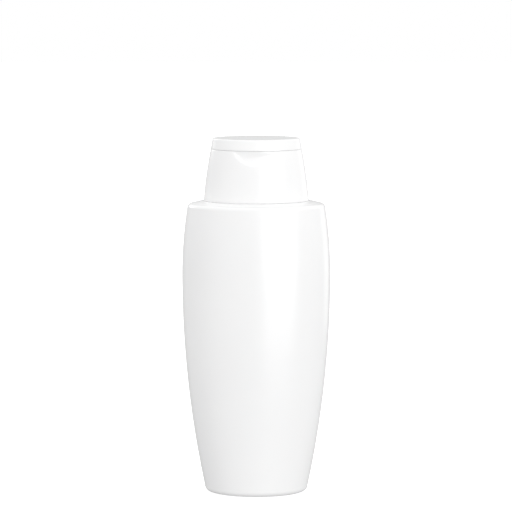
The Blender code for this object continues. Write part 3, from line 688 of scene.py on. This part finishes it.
strap_low, strap_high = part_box("snap_strap")
STRAP_WAIST = 0.62             # width at the waist, as a share of the width at the ends
STRAP_ROOT = 0.35 * MM         # how far each end runs on into cap and lid
strap_y = (strap_low.y + strap_high.y) / 2
strap_half = strap_high.x
path, half_widths = [], []
for height in spread(strap_low.z - STRAP_ROOT, strap_high.z + STRAP_ROOT, 36):
    away = abs(height - HINGE_Z) / (strap_high.z - HINGE_Z)
    path.append((strap_y, height))
    half_widths.append(strap_half * (STRAP_WAIST + (1 - STRAP_WAIST) * rise_smoothly(away / 0.75)))
strap = bent_strip("snap_spring_strap", path, half_widths, [strap_high.y - strap_low.y] * len(path), 0)
smooth_piece(strap, white_pp, FILM_EDGE_ANGLE)
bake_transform(strap)
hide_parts("snap_strap")


# Table top: a wide sheet of plain white studio paper, evenly lit, that the bottle stands on. It isn't
# part of the object.

FLOOR_SIZE = 6.0
FLOOR_CLEARANCE = 0.02 * MM
bm = bmesh.new()
bmesh.ops.create_grid(bm, x_segments=2, y_segments=2, size=FLOOR_SIZE / 2)
floor_mesh = bpy.data.meshes.new("table_top")
bm.to_mesh(floor_mesh)
bm.free()
floor = bpy.data.objects.new("table_top", floor_mesh)
bpy.context.scene.collection.objects.link(floor)
floor.location.z = bottle_low.z - FLOOR_CLEARANCE
floor_material = bpy.data.materials.new("white_table_paper")
floor_material.use_nodes = True
floor_shader = floor_material.node_tree.nodes["Principled BSDF"]
floor_shader.inputs["Base Color"].default_value = (0.85, 0.85, 0.85, 1)
floor_shader.inputs["Roughness"].default_value = 0.9
floor_shader.inputs["Specular IOR Level"].default_value = 0.0
floor_shader.inputs["Emission Color"].default_value = (1, 1, 1, 1)
floor_shader.inputs["Emission Strength"].default_value = 0.5
floor.data.materials.append(floor_material)
floor.visible_glossy = False
floor.visible_diffuse = False
floor.visible_shadow = False


# Light: a white room that is brightest above and in front of the bottle and darker to its left, three
# soft lamps behind it, and a tall white card that gives the glossy plastic its upright highlight.

ROOM_LEVEL = 0.69              # the room's middle brightness, before the slope is added
ROOM_SLOPE = (0.185, -0.53, 0.455)    # brighter to the right, in front and above
ROOM_DARKEST = 0.46            # no part of the room is darker than this
world = bpy.data.worlds.new("white_studio")
bpy.context.scene.world = world
world.use_nodes = True
room, wires = world.node_tree.nodes, world.node_tree.links
background = room["Background"]
direction = room.new("ShaderNodeTexCoord")
slope = room.new("ShaderNodeVectorMath")
slope.operation = "DOT_PRODUCT"
slope.inputs[1].default_value = ROOM_SLOPE
wires.new(direction.outputs["Generated"], slope.inputs[0])
level = room.new("ShaderNodeMath")
level.operation = "ADD"
level.inputs[1].default_value = ROOM_LEVEL
wires.new(slope.outputs["Value"], level.inputs[0])
darkest = room.new("ShaderNodeMath")
darkest.operation = "MAXIMUM"
darkest.inputs[1].default_value = ROOM_DARKEST
wires.new(level.outputs["Value"], darkest.inputs[0])
wires.new(darkest.outputs["Value"], background.inputs["Color"])
seen = room.new("ShaderNodeBackground")
seen.inputs["Color"].default_value = (1, 1, 1, 1)
ray = room.new("ShaderNodeLightPath")
choose = room.new("ShaderNodeMixShader")
wires.new(ray.outputs["Is Camera Ray"], choose.inputs["Fac"])
wires.new(background.outputs["Background"], choose.inputs[1])
wires.new(seen.outputs["Background"], choose.inputs[2])
wires.new(choose.outputs["Shader"], room["World Output"].inputs["Surface"])


def softbox(name, width, height, watts, place, target):
    """A soft rectangular lamp aimed at a point on the bottle."""
    data = bpy.data.lights.new(name, "AREA")
    data.shape = "RECTANGLE"
    data.size, data.size_y = width, height
    data.energy = watts
    lamp = bpy.data.objects.new(name, data)
    bpy.context.scene.collection.objects.link(lamp)
    lamp.location = place
    lamp.rotation_euler = (Vector(target) - lamp.location).to_track_quat("-Z", "Y").to_euler()
    return lamp


softbox("left_rear_softbox", 0.2, 0.3, 1.3, (-0.5, 0.35, 0.36), (0, 0, 0.13))
softbox("right_rear_softbox", 0.7, 0.9, 2.5, (1.1, 0.7, 0.25), (0, 0, 0.09))
back_lamp = softbox("back_softbox", 1.2, 1.2, 6.0, (-0.4, 1.9, 0.6), (0, 0, 0.09))
back_lamp.visible_glossy = False

CARD_DISTANCE = 2.4
CARD_LEVEL = 0.09              # height of the point on the bottle that the card stands round
CARD_GLOW = (5.7, 5.2)         # strength at its left and at its right edge
card_from, card_to = math.radians(8), math.radians(42)
card_low, card_high = math.radians(-10.5), math.radians(28)
bm = bmesh.new()
columns = []
for azimuth in spread(card_from, card_to, 16):
    column = []
    for elevation in (card_low, card_high):
        column.append(bm.verts.new((CARD_DISTANCE * math.sin(azimuth), -CARD_DISTANCE * math.cos(azimuth),
                                    CARD_LEVEL + CARD_DISTANCE * math.tan(elevation))))
    columns.append(column)
for left, right in zip(columns, columns[1:]):
    bm.faces.new((left[0], right[0], right[1], left[1]))
card_mesh = bpy.data.meshes.new("highlight_card")
bm.to_mesh(card_mesh)
bm.free()
card = bpy.data.objects.new("highlight_card", card_mesh)
bpy.context.scene.collection.objects.link(card)
card_material = bpy.data.materials.new("glowing_card")
card_material.use_nodes = True
card_nodes, card_links = card_material.node_tree.nodes, card_material.node_tree.links
card_nodes.remove(card_nodes["Principled BSDF"])
glow = card_nodes.new("ShaderNodeEmission")
across = card_nodes.new("ShaderNodeTexCoord")
parts = card_nodes.new("ShaderNodeSeparateXYZ")
fade = card_nodes.new("ShaderNodeMapRange")
fade.inputs["From Min"].default_value = 0.3
fade.inputs["From Max"].default_value = 1.0
fade.inputs["To Min"].default_value, fade.inputs["To Max"].default_value = CARD_GLOW
card_links.new(across.outputs["Generated"], parts.inputs[0])
card_links.new(parts.outputs["X"], fade.inputs["Value"])
card_links.new(fade.outputs["Result"], glow.inputs["Strength"])
card_links.new(glow.outputs["Emission"], card_nodes["Material Output"].inputs["Surface"])
card_material.cycles.emission_sampling = "NONE"
card.data.materials.append(card_material)
card.visible_camera = False
card.visible_diffuse = False
card.visible_shadow = False
card.visible_transmission = False


# Camera: a long lens straight in front of the bottle and a little above it, looking slightly down.
# From this distance both sides of the bottle look nearly parallel.

CAMERA_LENS = 198.0            # mm
CAMERA_PLACE = (-0.00014, -1.3132, 0.2922)
CAMERA_DIP = 7.8               # degrees below level
camera_data = bpy.data.cameras.new("camera")
camera_data.lens = CAMERA_LENS
camera_data.sensor_width = 36.0
camera = bpy.data.objects.new("camera", camera_data)
bpy.context.scene.collection.objects.link(camera)
camera.location = CAMERA_PLACE
camera.rotation_euler = (math.radians(90 - CAMERA_DIP), 0, 0)
bpy.context.scene.camera = camera
bpy.context.scene.view_settings.view_transform = "Standard"
